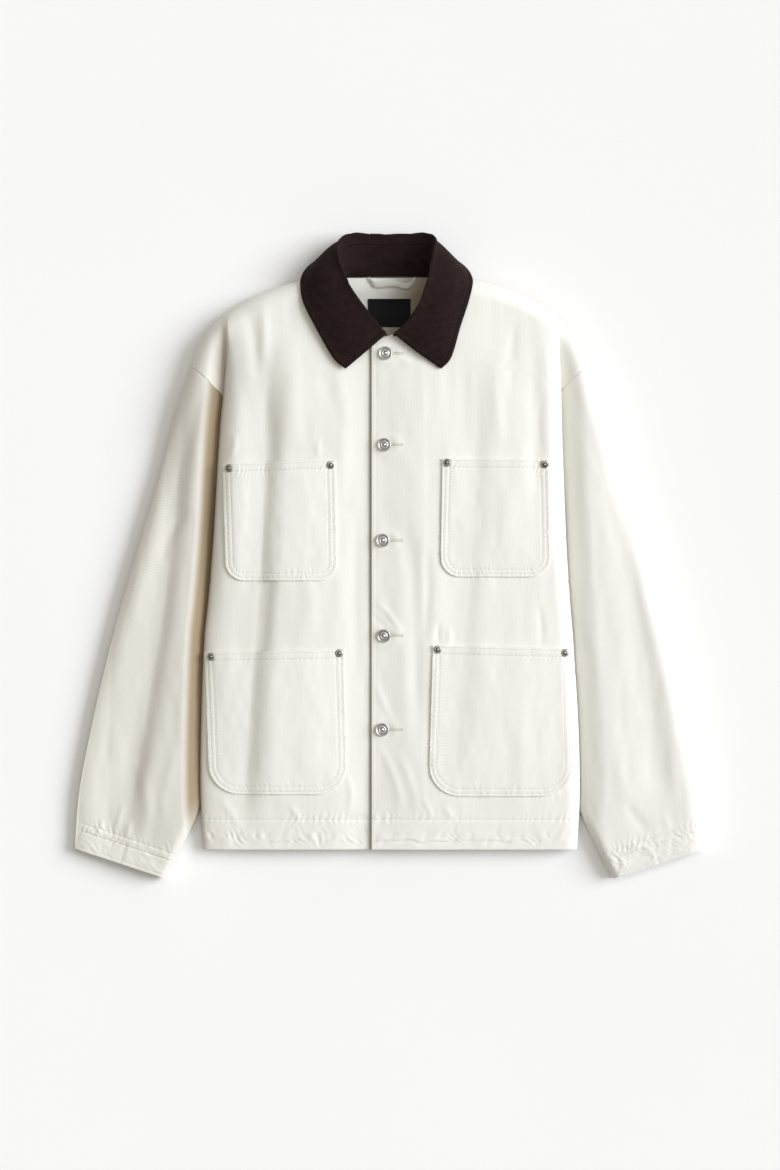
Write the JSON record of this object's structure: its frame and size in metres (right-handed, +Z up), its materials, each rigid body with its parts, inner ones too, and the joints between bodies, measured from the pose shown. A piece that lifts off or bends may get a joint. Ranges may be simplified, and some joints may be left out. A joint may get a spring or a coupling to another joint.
{
  "type": "chore jacket",
  "caption": "Hip-length button-front work jacket of pale cotton, laid face up, with corduroy collar, patch pockets, metal buttons and rivets.",
  "frame": {"origin": "on the surface the jacket lies on, under the middle of its outline", "axes": "+X towards the wearer's left sleeve, +Y from hem to collar, +Z up out of the front"},
  "size_m": [0.7622, 0.7792, 0.059],
  "materials": {
    "cotton": "off-white cotton denim, fine twill, soft matt",
    "corduroy": "dark brown fine-wale corduroy, matt with a soft nap",
    "label": "black woven label, bare",
    "metal": "silver-coloured metal with darkened hollows"
  },
  "bodies": {
    "root": {"back": "cotton", "front_left": "cotton", "front_right": "cotton", "sleeve_left": "cotton", "sleeve_right": "cotton", "collar_stand": "corduroy", "collar_leaf": "corduroy", "hanger_loop": "cotton", "neck_label": "label", "pocket_chest_left": "cotton", "pocket_chest_right": "cotton", "pocket_lower_left": "cotton", "pocket_lower_right": "cotton", "button_1": "metal", "button_2": "metal", "button_3": "metal", "button_4": "metal", "button_5": "metal", "rivet_chest_left_outer": "metal", "rivet_chest_left_inner": "metal", "rivet_chest_right_inner": "metal", "rivet_chest_right_outer": "metal", "rivet_lower_left_outer": "metal", "rivet_lower_left_inner": "metal", "rivet_lower_right_inner": "metal", "rivet_lower_right_outer": "metal"}
  },
  "joints": []
}
